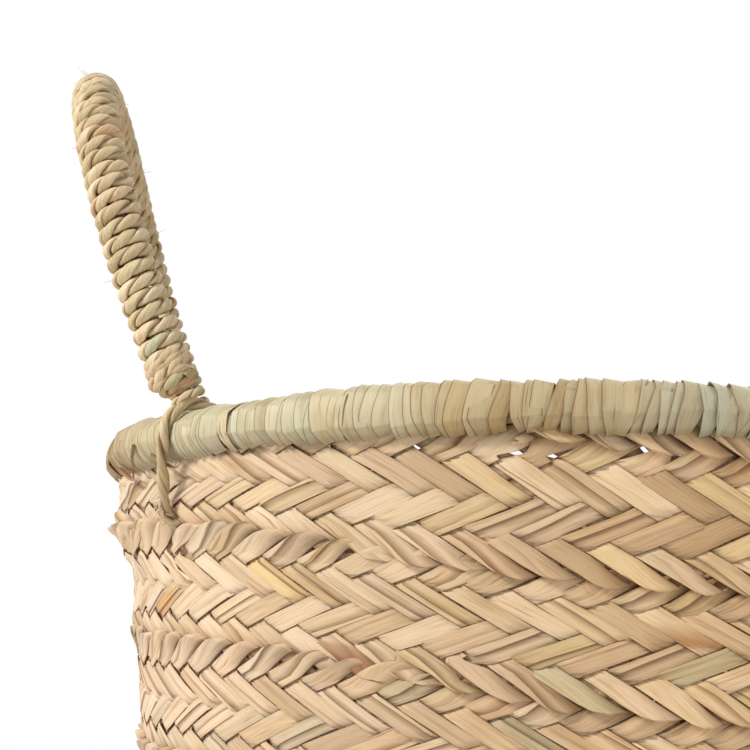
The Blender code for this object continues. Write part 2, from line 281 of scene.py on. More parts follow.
def make_light():
    for name, (place, size, power) in LAMPS.items():
        add_lamp(name, place, size, power)
    world = bpy.data.worlds.new("white_room")
    world.use_nodes = True
    tree = world.node_tree
    path = add_node(tree, "LightPath")
    seen = path.outputs["Is Camera Ray"]
    for kind in ("Is Glossy Ray", "Is Transmission Ray"):
        seen = math_node(tree, "MAXIMUM", seen, path.outputs[kind])
    room = blend_colours(tree, "MIX", seen, (ROOM_GREY, ROOM_GREY, ROOM_GREY), WHITE)
    feed(tree, tree.nodes["Background"], Color=room, Strength=1)
    bpy.context.scene.world = world
    bpy.context.scene.view_settings.view_transform = "Standard"


def make_floor():
    """A plain pale disc that fades into the white background."""
    mesh = bpy.data.meshes.new("floor")
    turn = [math.tau * corner / FLOOR_CORNERS for corner in range(FLOOR_CORNERS)]
    border = [(FLOOR_RADIUS * math.cos(angle), FLOOR_RADIUS * math.sin(angle), 0.0) for angle in turn]
    mesh.from_pydata(border, [], [tuple(range(FLOOR_CORNERS))])
    floor = add_object("floor", mesh)
    material, shader, tree = new_material("floor", 0.9)
    feed(tree, shader, Base_Color=(FLOOR_GREY, FLOOR_GREY, FLOOR_GREY))
    distance = add_node(tree, "VectorMath", Vector=add_node(tree, "TexCoord").outputs["Object"])
    distance.operation = "LENGTH"
    borders = {"From_Min": 0.25 * FLOOR_RADIUS, "From_Max": 0.8 * FLOOR_RADIUS}
    fade = add_node(tree, "MapRange", Value=distance.outputs["Value"], **borders)
    fade.interpolation_type = "SMOOTHSTEP"
    camera_ray = add_node(tree, "LightPath").outputs["Is Camera Ray"]
    mix = add_node(tree, "MixShader", Fac=math_node(tree, "MULTIPLY", fade.outputs[0], camera_ray))
    tree.links.new(shader.outputs[0], mix.inputs[1])
    tree.links.new(add_node(tree, "Emission").outputs[0], mix.inputs[2])
    feed(tree, tree.nodes["Material Output"], Surface=mix.outputs[0])
    mesh.materials.append(material)


def fill(tree, socket, value):
    """Links the socket to another, or gives it a value, where three numbers are a colour or a vector."""
    if isinstance(value, bpy.types.NodeSocket):
        tree.links.new(value, socket)
    else:
        socket.default_value = (*value, 1) if socket.type == "RGBA" else value


def feed(tree, node, **values):
    """Fills a node's inputs by name, with an underline where the name has a space."""
    for name, value in values.items():
        fill(tree, node.inputs[name.replace("_", " ")], value)


def add_node(tree, kind, **values):
    node = tree.nodes.new("ShaderNode" + kind)
    feed(tree, node, **values)
    return node


def new_material(name, roughness):
    material = bpy.data.materials.new(name)
    material.use_nodes = True
    shader = material.node_tree.nodes["Principled BSDF"]
    feed(material.node_tree, shader, Roughness=roughness)
    return material, shader, material.node_tree


def math_node(tree, operation, *inputs):
    node = add_node(tree, "Math")
    node.operation = operation
    for socket, value in zip(node.inputs, inputs):
        fill(tree, socket, value)
    return node.outputs[0]


def streaks(tree, coordinates, along, across, detail):
    """Noise drawn out along the leaf: along and across are the sizes of a streak."""
    scaled = add_node(tree, "VectorMath", Vector=coordinates)
    scaled.operation = "MULTIPLY"
    fill(tree, scaled.inputs[1], (1 / along, 1 / across, 1))
    noise = add_node(tree, "TexNoise", Vector=scaled.outputs[0], Scale=1, Detail=detail, Roughness=0.6)
    return noise.outputs["Fac"]


def add_bump(tree, shader, height, strength, depth):
    bump = add_node(tree, "Bump", Strength=strength, Distance=depth, Height=height)
    feed(tree, shader, Normal=bump.outputs["Normal"])


def ramp(tree, value, stops):
    node = add_node(tree, "ValToRGB", Fac=value)
    places = node.color_ramp.elements
    while len(places) < len(stops):
        places.new(0.5)
    for element, (place, colour) in zip(places, stops):
        element.position = place
        element.color = (*colour, 1)
    return node.outputs["Color"]


def blend_colours(tree, kind, factor, first, second):
    mix = add_node(tree, "Mix")
    mix.data_type = "RGBA"
    mix.blend_type = kind
    sockets = [mix.inputs["Factor"]] + [socket for socket in mix.inputs if socket.type == "RGBA"]
    for socket, value in zip(sockets, (factor, first, second)):
        fill(tree, socket, value)
    return [socket for socket in mix.outputs if socket.type == "RGBA"][0]


def leaf_material(name, line_width, stain_length, line_shade, bump_depth, roughness):
    """Dry leaf: its own tint, fine fibres and veins along it, broader stains, and dark edges and creases,
    which are browned cut edges and painted shade.
    """
    material, shader, tree = new_material(name, roughness)
    fibre, tint, edge = (add_node(tree, "Attribute") for _ in range(3))
    fibre.attribute_name, tint.attribute_name, edge.attribute_name = "fibre", "tint", "edge"
    place = fibre.outputs["Vector"]
    lines = streaks(tree, place, 30 * line_width, line_width, 2)
    veins = streaks(tree, place, 60 * line_width, 2.6 * line_width, 1)
    stains = streaks(tree, place, stain_length, stain_length / 5, 3)
    line_stops = [(0.30, line_shade), (0.52, WHITE), (0.75, WHITE)]
    colour = tint.outputs["Color"]
    for depth, pattern, stops in (
        (0.8, lines, line_stops),
        (0.8, veins, VEIN_STOPS),
        (0.7, stains, STAIN_STOPS),
    ):
        colour = blend_colours(tree, "MULTIPLY", depth, colour, ramp(tree, pattern, stops))
    # Browned cut edges and painted shade, blended in by the edge attribute
    browned_and_shaded = blend_colours(tree, "MULTIPLY", 1.0, colour, EDGE_BROWN_AND_SHADE)
    colour = blend_colours(tree, "MIX", edge.outputs["Fac"], colour, browned_and_shaded)
    add_bump(tree, shader, math_node(tree, "ADD", lines, veins), 0.6, bump_depth)
    spread = {"To_Min": roughness - ROUGHNESS_SPREAD, "To_Max": roughness + ROUGHNESS_SPREAD}
    rough = add_node(tree, "MapRange", Value=lines, **spread)
    feed(tree, shader, Base_Color=colour, Roughness=rough.outputs[0], Specular_IOR_Level=0.35)
    return material


def linear(*srgb):
    """A colour given as screen values from 0 to 255."""
    shares = np.array(srgb) / 255
    return tuple(np.where(shares < 0.04045, shares / 12.92, ((shares + 0.055) / 1.055) ** 2.4))


def linear_list(*colours):
    return [linear(*colour) for colour in colours]


STRAW_COLOURS = linear_list(
    (220, 188, 144), (215, 180, 136), (209, 174, 129), (226, 196, 155), (217, 187, 134),
    (202, 167, 121), (224, 189, 131), (193, 157, 110), (199, 180, 135), (211, 163, 111),
)
STRAW_SHARES = [0.20, 0.18, 0.14, 0.12, 0.10, 0.08, 0.07, 0.05, 0.03, 0.03]
PALE_SIDE_STRAW = linear(231, 208, 180)
RIM_GREEN = linear(206, 194, 162)
RIM_SAGE = linear(194, 186, 152)
RIM_BROWN = linear(184, 158, 114)
RIM_PALE = linear(196, 194, 168)
CORD_COLOURS = linear_list((228, 205, 166), (220, 201, 162), (209, 190, 150), (233, 214, 180))
ODD_CORD_COLOURS = linear_list((218, 176, 138), (202, 199, 164))
LASHING_COLOURS = linear_list((208, 188, 148), (198, 178, 138), (214, 193, 156))
FOOT_COLOURS = linear_list((212, 184, 144), (188, 156, 114), (222, 198, 162), (190, 180, 138))
FIBRE_COLOURS = linear_list((222, 198, 158), (196, 164, 120), (232, 214, 184))
REED_STOPS = [(0.35, linear(150, 126, 84)), (0.65, linear(182, 158, 112))]

# How far an odd leaf may lie from its place
ODD_LEAF_MISS = 0.27 * LEAST_PITCH

# Places that the photograph shows as different: azimuth in degrees, depth and reach. A leaf of another colour
# has whether its strand falls there and its colour, and a place that stands proud has its height.
ODD_LEAVES = [
    (226.8, 0.0435, 0.0120, True, linear(222, 192, 142)),
    (205.2, 0.0525, 0.0060, False, linear(218, 174, 122)),
    (238.1, 0.0694, 0.0060, True, linear(160, 116, 80)),
    (246.3, 0.0787, 0.0130, True, linear(174, 130, 92)),
    (272.6, 0.0570, 0.0035, True, linear(186, 142, 94)),
]
GAPS = [
    (250.7, 0.0088, 0.0018),
    (256.3, 0.0092, 0.0020),
    (267.8, 0.0100, 0.0024),
    (276.0, 0.0092, 0.0020),
    (208.0, 0.0360, 0.0036),
    (248.1, 0.0668, 0.0020),
]
PROUD_PLACES = [
    (184.5, 0.0270, 0.0065, 0.0030),
    (193.0, 0.0285, 0.0065, 0.0014),
    (188.0, 0.0600, 0.0065, 0.0012),
    (184.0, 0.0130, 0.0100, 0.0022),
    (192.0, 0.0130, 0.0100, 0.0012),
]

# Loose ends of the rim's strip: azimuth in degrees, depth and distance from the wall, then width and colour
TAIL_PLACES = [
    [(209.0, 0.0050, 0.0078), (210.7, 0.0088, 0.0052), (212.6, 0.0104, 0.0042), (214.3, 0.0088, 0.0062)],
    [(196.4, 0.0065, 0.0064), (198.5, 0.0106, 0.0042), (200.4, 0.0112, 0.0046), (201.6, 0.0080, 0.0064)],
    [(204.7, 0.0005, 0.0080), (203.9, 0.0052, 0.0084), (203.4, 0.0105, 0.0056)],
]
TAIL_WIDTHS = [0.0017, 0.0022, 0.0018]
TAIL_COLOURS = linear_list((150, 128, 92), (170, 124, 92), (152, 132, 94))

# How light the wall's leaf is, by azimuth in degrees
WALL_AZIMUTHS = [0, 60, 120, 175, 215, 235, 256, 274, 310]
WALL_LIGHTNESS = [0.96, 0.88, 1.02, 0.95, 0.94, 0.86, 0.89, 1.07, 0.90]

# How brown and how pale the rim's leaf is, by azimuth in degrees
RIM_AZIMUTHS = [0, 40, 95, 150, 190, 215, 235, 246, 257, 266, 273, 300, 340]
RIM_BROWN_SHARES = [0.2, 0.5, 0.1, 0.4, 0.80, 0.20, 0.10, 0.50, 0.75, 0.50, 0.15, 0.5, 0.15]
RIM_PALE_SHARES = [0.3, 0.0, 0.5, 0.1, 0.1, 0.45, 0.30, 0.05, 0.00, 0.10, 0.85, 0.2, 0.6]


def ease(value):
    """Smooth step from 0 to 1."""
    share = np.clip(value, 0, 1)
    return share * share * (3 - 2 * share)


def unit(vectors):
    return vectors / np.linalg.norm(vectors, axis=-1, keepdims=True)


def turned_from(first, second, angle):
    """A direction turned by an angle, from the first towards the second."""
    return np.cos(angle)[..., None] * first + np.sin(angle)[..., None] * second


def run_along(points):
    """How far along the line of points each of them lies."""
    return np.concatenate([[0.0], np.cumsum(np.linalg.norm(np.diff(points, axis=0), axis=1))])


def heading(points):
    """The direction of a line of points at each of them."""
    return unit(np.gradient(points, axis=0))


def evenly_along(points, count):
    points = np.asarray(points)
    run = run_along(points)
    places = np.linspace(0, run[-1], count)
    return np.column_stack([np.interp(places, run, points[:, axis]) for axis in range(3)])


def mesh_object(name, skins, material, body, node):
    """One smooth mesh of many skins, which rides on a body and stands for a CAD node."""
    layers = {"points": [], "tint": [], "fibre": [], "edge": []}
    quads = []
    first = 0
    for skin in skins:
        rows, columns = skin["points"].shape[:2]
        index = first + np.arange(rows * columns).reshape(rows, columns)
        after = np.roll(index, -1, axis=1)
        faces = np.stack([index[:-1], after[:-1], after[1:], index[1:]], axis=-1).reshape(-1, 4)
        if "keep" in skin:
            faces = faces[skin["keep"].reshape(-1)[faces - first].all(axis=1)]
        quads.append(faces)
        for label, layer in layers.items():
            size = (rows, columns) if label == "edge" else (rows, columns, 3)
            layer.append(np.broadcast_to(skin[label], size).reshape(rows * columns, -1))
        first += rows * columns
    quads = np.concatenate(quads)
    used = np.unique(quads)
    renumber = np.zeros(first, dtype=np.int32)
    renumber[used] = np.arange(len(used))
    values = {label: np.concatenate(layer)[used].astype(np.float32) for label, layer in layers.items()}
    values["tint"] = np.column_stack([values["tint"], np.ones(len(used), dtype=np.float32)])
    mesh = bpy.data.meshes.new(name)
    mesh.vertices.add(len(used))
    mesh.vertices.foreach_set("co", values["points"].ravel())
    mesh.loops.add(quads.size)
    mesh.loops.foreach_set("vertex_index", renumber[quads].astype(np.int32).ravel())
    mesh.polygons.add(len(quads))
    mesh.polygons.foreach_set("loop_start", np.arange(0, quads.size, 4, dtype=np.int32))
    mesh.update(calc_edges=True)
    mesh.shade_smooth()
    mesh.set_sharp_from_angle(angle=SHARP_ANGLE)
    for label, kind, field in LEAF_ATTRIBUTES:
        attribute = mesh.attributes.new(label, kind, "POINT")
        attribute.data.foreach_set(field, values[label].ravel())
    mesh.materials.append(material)
    obj = add_object(name, mesh)
    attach(obj, body)
    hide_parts(node)


def bezier(start, start_pull, end_pull, end, steps=48):
    share = np.linspace(0, 1, steps)[:, None]
    rest = 1 - share
    first, second = 3 * rest**2 * share * start_pull, 3 * rest * share**2 * end_pull
    return rest**3 * start + first + second + share**3 * end


def wall_profile():
    """Radius and height down the wall, from the rim over waist and belly to the middle of the base."""
    rim, waist = np.array([RIM_RADIUS, RIM_HEIGHT]), np.array([WAIST_RADIUS, WAIST_HEIGHT])
    belly, base = np.array([BELLY_RADIUS, BELLY_HEIGHT]), np.array([BASE_RADIUS, HALF_THICKNESS])
    up, out = np.array([0.0, 1.0]), np.array([1.0, 0.0])
    taper = COLLAR_HOLD * np.array([math.sin(COLLAR_TAPER), math.cos(COLLAR_TAPER)])
    collar = bezier(rim, rim - taper, waist + WAIST_HOLD * up, waist)
    swell = bezier(waist, waist - BELLY_HOLD * up, belly + BELLY_HOLD * up, belly)
    heel = bezier(belly, belly - HEEL_HOLD * up, base + BASE_HOLD * out, base)
    return np.vstack([collar, swell[1:], heel[1:], [[0.0, HALF_THICKNESS]]])


def wall_tables():
    """Radius, height and outward normal of the wall at even depths."""
    profile = wall_profile()
    run = run_along(profile)
    depths = np.arange(0, run[-1], TABLE_STEP)
    behind, places, ahead = (
        np.column_stack([np.interp(depths + step, run, column) for column in profile.T])
        for step in (-3 * TABLE_STEP, 0, 3 * TABLE_STEP)
    )
    slope = unit(ahead - behind)
    return run[-1], depths, places, np.column_stack([-slope[:, 1], slope[:, 0]])


CENTRE_DEPTH, DEPTHS, WALL_PLACES, WALL_NORMALS = wall_tables()
LAST_DEPTH = CENTRE_DEPTH - START_RADIUS


def wall_points(azimuth, depth, offset):
    """Places on the wall, moved outward by offset."""
    azimuth, depth, offset = np.broadcast_arrays(azimuth, depth, offset)
    radius, height = (
        np.interp(depth, DEPTHS, places) + offset * np.interp(depth, DEPTHS, normals)
        for places, normals in zip(WALL_PLACES.T, WALL_NORMALS.T)
    )
    height = height - dip_at(azimuth, depth)
    return np.stack([radius * np.cos(azimuth), radius * np.sin(azimuth), height], axis=-1)


def dip_at(azimuth, depth):
    """How far the dipping rim lowers this place of the wall."""
    fade = np.clip(1 - depth / DIP_DEPTH, 0, 1)
    return RIM_DIP * np.cos(2 * azimuth) * fade**2


def join_depth(azimuth):
    """Depth of the first join below the rim, which sinks by one pitch a turn."""
    return FIRST_JOIN_DEPTH + SPIRAL_PITCH * (azimuth - math.pi) / math.tau


def plait_run(start):
    """Azimuth steps along a plait, and how many strand pitches have gone by at each."""
    lower = join_depth(0.0) + start * PLAIT_WIDTH
    first = (LAST_STRIP - lower) / SPIRAL_PITCH * math.tau
    last = (LAST_DEPTH + PLAIT_WIDTH - lower) / SPIRAL_PITCH * math.tau
    azimuths = np.arange(first, last, COURSE_STEP)
    middle = lower + SPIRAL_PITCH * azimuths / math.tau - PLAIT_WIDTH / 2
    radius = np.interp(middle, DEPTHS, WALL_PLACES[:, 0])
    rate = np.minimum(STRANDS_A_TURN, math.tau * radius / LEAST_PITCH) / math.tau
    counted = np.concatenate([[0.0], np.cumsum((rate[1:] + rate[:-1]) / 2 * COURSE_STEP)])
    return azimuths, counted + azimuths[0] * STRANDS_A_TURN / math.tau + STRAND_PHASE


def falling_state(crossing):
    """1 where a falling strand lies outside its crossing strands, and -1 where it lies inside them."""
    first, second, third = (ease((crossing - place) / CHANGE_LENGTH + 0.5) for place in SIDE_CHANGES)
    return 2 * (first + third - second) - 1


def strand_steps(first, last):
    """Places along a strand, in crossings, close together where it changes sides or folds."""
    change = [-0.75, -0.5, -0.3, -0.15, 0, 0.15, 0.3, 0.5, 0.75]
    fold = [-1.1, -0.7, -0.4, -0.2, -0.11, -0.05, 0, 0.05, 0.11, 0.2, 0.4, 0.7, 1.1]
    half = [place + step for place in SIDE_CHANGES for step in change] + [4.0, 7.0]
    turn = half + [2 * STRANDS - place for place in half]
    turn += [STRANDS + step for step in fold] + [(2 * STRANDS + step) % (2 * STRANDS) for step in fold]
    turn = np.unique(np.round(turn, 3))
    count = int((last - first) // (2 * STRANDS)) + 3
    begin = first // (2 * STRANDS) * (2 * STRANDS)
    steps = (begin + 2 * STRANDS * np.arange(count)[:, None] + turn).ravel()
    inside = steps[(steps > first + 0.05) & (steps < last - 0.05)]
    return np.concatenate([[first], inside, [last]])


def row_sway(azimuth, depth):
    """How far the rows of the weave wander down and back up round the basket."""
    fade = ease((depth - BARE_STRIP) / SPIRAL_PITCH * 4) * ease((LAST_DEPTH - depth) / SPIRAL_PITCH)
    late = SWAY_AZIMUTH + SWAY_SHIFT * depth / PLAIT_WIDTH
    return ROW_SWAY * fade * np.sin(4 * (azimuth - late))


def strand_place(steps):
    """Whether a strand falls here, and how many crossings lie above this place."""
    phase = np.mod(steps, 2 * STRANDS)
    falling = phase < STRANDS
    return falling, np.where(falling, phase, 2 * STRANDS - phase)


def fold_at(crossing):
    """Crossings to the nearest fold, nearness to it, and 1 at the lower edge or -1 at the upper one."""
    from_edge = np.minimum(crossing, STRANDS - crossing)
    near = ease(1 - (from_edge - FOLD_FLAT) / FOLD_FADE)
    return from_edge, near, np.where(crossing > STRANDS / 2, 1.0, -1.0)


def strand_course(steps, across, half_width, reach, plump):
    """Pitches gained, place down the plait, offset, layer and signed nearness to a fold, across a strand."""
    falling, crossing = strand_place(steps)
    from_edge, near, down = fold_at(crossing)
    side = np.where(falling, 1.0, -1.0)
    share = across / half_width
    fold_reach = STRANDS * EDGE_OFFSET / PLAIT_WIDTH
    folding = np.clip(from_edge / fold_reach, 0, 1) * math.pi / 2
    layer = side * falling_state(crossing + side * across) * np.sin(folding)
    spread = MIDDLE_OFFSET + (EDGE_OFFSET - MIDDLE_OFFSET) * ease(1 - (from_edge - 0.5) / 1.2)
    outer = ease((layer + 0.9) / 0.6)
    tilt = LOOP_TILT * near * share * (1 - 2 * outer)
    crown = LOOP_CROWN * plump * near * (1 - share**2) * layer
    petal = np.interp(share, PETAL_PLACES, PETAL_REACHES)
    place = crossing / STRANDS * PLAIT_WIDTH + down * LOOP_REACH * reach * near * petal
    gained = LOOP_TIP_SHARE * near**2 * np.maximum(share, 0) ** 2
    return gained, place, spread * layer + tilt + crown, layer, near * down


def leaf_outline(split, step, crown):
    """Closed outline of a leaf at each row, as shares of its width and heights, with a pleat at split."""
    half = np.full_like(split, 0.5)
    ledge = 0.02
    top = [-half, -0.95 * half, (split - half) / 2, split - ledge]
    top += [split + ledge, (split + half) / 2, 0.95 * half, half]
    under = [0.94 * half, (split + 0.94 * half) / 2, split, (split - 0.94 * half) / 2, -0.94 * half]
    shares = np.stack(top + under, axis=-1)
    height = crown * (1 - 4 * shares**2) + step / 2
    height[:, 4:10] -= step
    height[:, 10] -= step / 2
    height[:, [0, 7]] -= LEAF_BEVEL
    height[:, 8:] -= LEAF_THICKNESS
    return shares, height


def edge_shade(step, random):
    """How dark the outline's points are: browned cut edges, with painted shade in the cracks beside them and
    on the under side, and painted shade on the pleat's low side.
    """
    shade = np.array([1.0, 0.12, 0, 0, 0, 0, 0.12, 1.0, 0.9, 0, 0.4, 0, 0.9])
    low = 4 if step > 0 else 3
    # Painted shade in the crease on the pleat's low side
    shade[low] = 0.75 if abs(step) > PLEAT_STEP / 2 else random.choice([0.0, 0.35])
    return shade


def fold_shade(shade, outline, near, order):
    """The leaf's shade at each row: painted shade, darker at the borders of its folds and where it lies under
    others.
    """
    border = FOLD_BORDER_SHADE * np.abs(near) * ease((np.abs(outline) - 0.36) / 0.14)
    under = FOLD_UNDER_SHADE * ease((-order - 0.25) / 0.6)
    return np.clip(shade + border + under, 0, 1)


def leaf_breaks(random, first, last):
    """Where the leaves of one strand begin and end: at crossings that hide it from outside."""
    places = [first]
    for turn in range(int(first // (2 * STRANDS)), int(last // (2 * STRANDS)) + 1):
        for hidden in HIDDEN_CROSSINGS:
            place = turn * 2 * STRANDS + hidden
            if first + LEAST_LEAF < place < last - LEAST_LEAF and random.random() < LEAF_END_SHARE:
                places.append(place)
    return places + [last]


def wander(random, steps, size, stretch):
    """A smooth random course along a strand."""
    knots = np.arange(steps[0] - stretch, steps[-1] + 2 * stretch, stretch)
    return np.interp(steps, knots, random.normal(0, size, len(knots)))


def fold_course(random, steps, spread):
    """A share about 1 along a strand, steady through each fold and different from fold to fold."""
    folds = np.arange(steps[0] // STRANDS - 1, steps[-1] // STRANDS + 3) * STRANDS
    shares = 1 + random.uniform(-spread, spread, len(folds))
    return np.interp(steps, np.sort([*(folds - 2.5), *(folds + 2.5)]), np.repeat(shares, 2))


def distance_from(azimuth, depth, degrees, down):
    return np.hypot((azimuth - math.radians(degrees)) * RIM_RADIUS, depth - down)


def weight_at(azimuth, depth, degrees, down, reach):
    """1 up to its reach from a marked place of the wall, falling to 0 at twice its reach."""
    return ease(2 - distance_from(azimuth, depth, degrees, down) / reach)


def towards(tint, colour, share):
    """A colour moved by a share of its way to another."""
    return tint + (np.array(colour) - tint) * share


def straw_colour(random):
    return np.array(STRAW_COLOURS[random.choice(len(STRAW_COLOURS), p=STRAW_SHARES)])


def leaf_tint(random, azimuth, depth, falling, layer):
    """A leaf's colour at each row, paler towards one side and odd where the photograph shows it."""
    tint = np.tile(straw_colour(random) * random.uniform(0.87, 1.10), (len(azimuth), 1))
    paler_side = (0.5 + 0.5 * np.cos(azimuth - PALE_SIDE_AZIMUTH)) ** 3 * random.uniform(0.45, 0.95)
    tint = towards(tint, PALE_SIDE_STRAW, paler_side[:, None])
    tint = tint * np.interp(np.degrees(azimuth), WALL_AZIMUTHS, WALL_LIGHTNESS, period=360)[:, None]
    for degrees, down, reach, falls, colour in ODD_LEAVES:
        away = distance_from(azimuth, depth, degrees, down)
        if np.where((falling == falls) & (layer > 0), away, math.inf).min() < ODD_LEAF_MISS:
            tint = towards(tint, colour, weight_at(azimuth, depth, degrees, down, reach)[:, None])
    return tint


def leaf_widths(random, steps, strand, course, start):
    """The leaf's width at each row: uneven, narrow at its hidden ends and at the gaps in the weave."""
    width = STRAND_WIDTH_SHARE * random.uniform(0.92, 1.06) * (1 + wander(random, steps, 0.035, 3.0))
    ends = np.minimum(steps - steps[0], steps[-1] - steps)
    width = width * (0.55 + 0.45 * ease(ends / 1.2))
    azimuth, depth = wall_place(steps, strand + steps / 2, course, start)
    width = width * (1 + 0.08 * ease(2 - depth / BARE_STRIP))
    _, near, down = fold_at(strand_place(steps)[1])
    narrowing = fold_course(random, steps, 0.7) * np.where(down > 0, LOOP_NARROWING, 1.6 * LOOP_NARROWING)
    width = width * (1 - narrowing * ease(1.5 * join_order(azimuth) * down) * near)
    for gap in GAPS:
        width = width * (1 - 0.62 * weight_at(azimuth, depth, *gap))
    return width, ends


def wall_place(steps, pitches, course, start):
    """Azimuth and depth of a strand's middle line."""
    azimuths, counted = course
    azimuth = np.interp(pitches, counted, azimuths)
    crossing = strand_place(steps)[1]
    depth = join_depth(azimuth) + (start - 1) * PLAIT_WIDTH + crossing / STRANDS * PLAIT_WIDTH
    return azimuth, depth + row_sway(azimuth, depth)


def join_order(azimuth):
    """1 where the upper row's loops lie over the lower row's, and -1 where they lie under them."""
    return np.tanh(4 * np.sin(2 * (azimuth - JOIN_TURNOVER)))


def leaf_skin(random, steps, strand, course, start):
    """One leaf strip as a thin closed skin on the wall, and the azimuth of its middle."""
    azimuths, counted = course
    width, ends = leaf_widths(random, steps, strand, course, start)
    step = random.choice([0, PLEAT_STEP, -PLEAT_STEP, 1.4 * PLEAT_STEP], p=[0.58, 0.16, 0.16, 0.10])
    split = np.clip(random.uniform(-0.25, 0.25) + wander(random, steps, 0.10, 4.0), -0.36, 0.36)
    outline, heights = leaf_outline(split, step, random.uniform(0.3, 1.0) * LEAF_CROWN)
    across = outline * width[:, None]
    rows = steps[:, None]
    reach, plump = (fold_course(random, steps, spread)[:, None] for spread in (0.32, 0.55))
    gained, place, offset, layer, near = strand_course(rows, across, width[:, None] / 2, reach, plump)
    heights = heights + (layer - 1) * (heights + LEAF_THICKNESS / 2)
    offset = offset + heights + random.normal(0, LEAF_TILT) * outline * 2 + random.normal(0, LEAF_STAND)
    offset = offset - END_SINK * (1 - ease(ends / 0.9))[:, None] * layer
    sway = wander(random, steps, 0.050, 2.5)[:, None]
    pitches = strand + rows / 2 + across + gained + sway
    azimuth = np.interp(pitches, counted, azimuths)
    depth = join_depth(azimuth) + (start - 1) * PLAIT_WIDTH + place
    keep = (depth > -TOP_TUCK) & (depth < LAST_DEPTH + START_OVERLAP)
    keep = keep & (pitches > counted[0]) & (pitches < counted[-1])
    depth = depth + row_sway(azimuth, depth)
    order = join_order(azimuth)
    offset = offset + LOOP_LIFT * order * near
    for *proud_place, height in PROUD_PLACES:
        offset = offset + height * weight_at(azimuth, depth, *proud_place)
    on_base = ease((depth - CENTRE_DEPTH + BASE_RADIUS + BASE_EASE) / BASE_EASE)
    offset = np.where(on_base > 0, np.minimum(offset, HEEL_OFFSET - BASE_SETTLE * on_base), offset)
    middle = len(across[0]) // 4
    falling = strand_place(steps)[0]
    tint = leaf_tint(random, azimuth[:, middle], depth[:, middle], falling, layer[:, middle])
    skin = {
        "points": wall_points(azimuth, depth, offset),
        "keep": keep,
        "tint": tint[:, None, :] * halves_tint(random, len(across[0])),
        "fibre": drawn_fibre(random, 0.56 * STRAND_PITCH * rows, 0.44 * STRAND_PITCH * across),
        # Browned cut edges and painted shade: in the cracks, the pleat, at fold borders and under the other
        # row's loops
        "edge": fold_shade(edge_shade(step, random), outline, near, order * near),
    }
    return skin, float(azimuth[len(azimuth) // 2, middle])


def halves_tint(random, columns):
    """How much lighter or darker the leaf is on the far side of its pleat, for each point of its outline."""
    lightness = random.choice([1.0, random.uniform(0.82, 1.12)])
    beside = lightness * np.array([1.0, random.uniform(0.97, 1.02), 1.0])
    column = np.arange(columns)
    far = np.where((column > 3) & (column < 11), 1.0, 0.0)
    return 1 + (beside - 1) * far[:, None]


def fibre_place(along, across, apart):
    """Metres along and across the leaf, and a number that sets its pattern apart."""
    return np.stack(np.broadcast_arrays(along, across, apart), axis=-1)


def drawn_fibre(random, along, across):
    apart = random.uniform(0, 99)
    return fibre_place(along + random.uniform(0, 9), across + random.uniform(0, 9), apart)


def make_plaits(material):
    for start in (0, 1):
        random = np.random.default_rng(41 + start)
        course = plait_run(start)
        azimuths, counted = course
        pieces = [[] for _ in range(PLAIT_PIECES)]
        for strand in range(STRANDS):
            first = 2 * (counted[0] - strand) - 4
            last = 2 * (counted[-1] - strand) + 4
            breaks = leaf_breaks(random, first, last)
            for begin, end in zip(breaks, breaks[1:]):
                steps = strand_steps(begin - 0.7, end + 0.7)
                skin, middle = leaf_skin(random, steps, strand, course, start)
                share = (middle - azimuths[0]) / (azimuths[-1] - azimuths[0])
                pieces[min(int(share * PLAIT_PIECES), PLAIT_PIECES - 1)].append(skin)
        for number, skins in enumerate(pieces, 1):
            skins += join_fibres(random, azimuths, number - 1, start)
            name = f"plait_{'ab'[start]}_part_{number:02d}"
            mesh_object("leaf_" + name, skins, material, "basket", name)


def join_fibres(random, azimuths, number, start):
    """Loose fibres along the upper join of one piece of a plait."""
    span = (azimuths[-1] - azimuths[0]) / PLAIT_PIECES
    fibres = []
    for azimuth in azimuths[0] + span * (number + random.random(JOIN_FIBRES)):
        depth = join_depth(azimuth) + (start - 1) * PLAIT_WIDTH + random.normal(0, LOOP_REACH)
        root = wall_points(azimuth, depth + row_sway(azimuth, depth), MIDDLE_OFFSET)
        if depth > BARE_STRIP and root[2] > WALL_FIBRES_ABOVE:
            outward = np.array([math.cos(azimuth), math.sin(azimuth), -0.4])
            fibres.append(stray_fibre(random, root, unit(outward)))
    return fibres


def rim_frame(azimuth):
    """Rim centre and its outward direction."""
    outward = np.stack([np.cos(azimuth), np.sin(azimuth), np.zeros_like(azimuth)], axis=-1)
    centre = outward * RIM_RADIUS
    centre[..., 2] = RIM_HEIGHT - dip_at(azimuth, 0.0)
    return centre, outward


def rim_points(azimuth, angle, radius):
    """Places round the rim's tube: angle 0 points outward and a quarter turn points up."""
    azimuth, angle, radius = np.broadcast_arrays(azimuth, angle, radius)
    centre, outward = rim_frame(azimuth)
    up = np.zeros_like(outward)
    up[..., 2] = 1
    return centre + radius[..., None] * turned_from(outward, up, angle)


def creased(angles, creases, radius):
    """Radius of a strip that lies in flats from crease to crease round the tube."""
    place = np.clip(np.searchsorted(creases, angles) - 1, 0, len(creases) - 2)
    before, after = creases[place], creases[place + 1]
    return radius * np.cos((after - before) / 2) / np.cos(angles - (before + after) / 2)


def looseness(azimuth):
    """1 between a handle's feet, where the turns of the rim's strip lie less evenly, and 0 elsewhere."""
    return float(ease((math.cos(2 * azimuth) - 0.6) / 0.3))


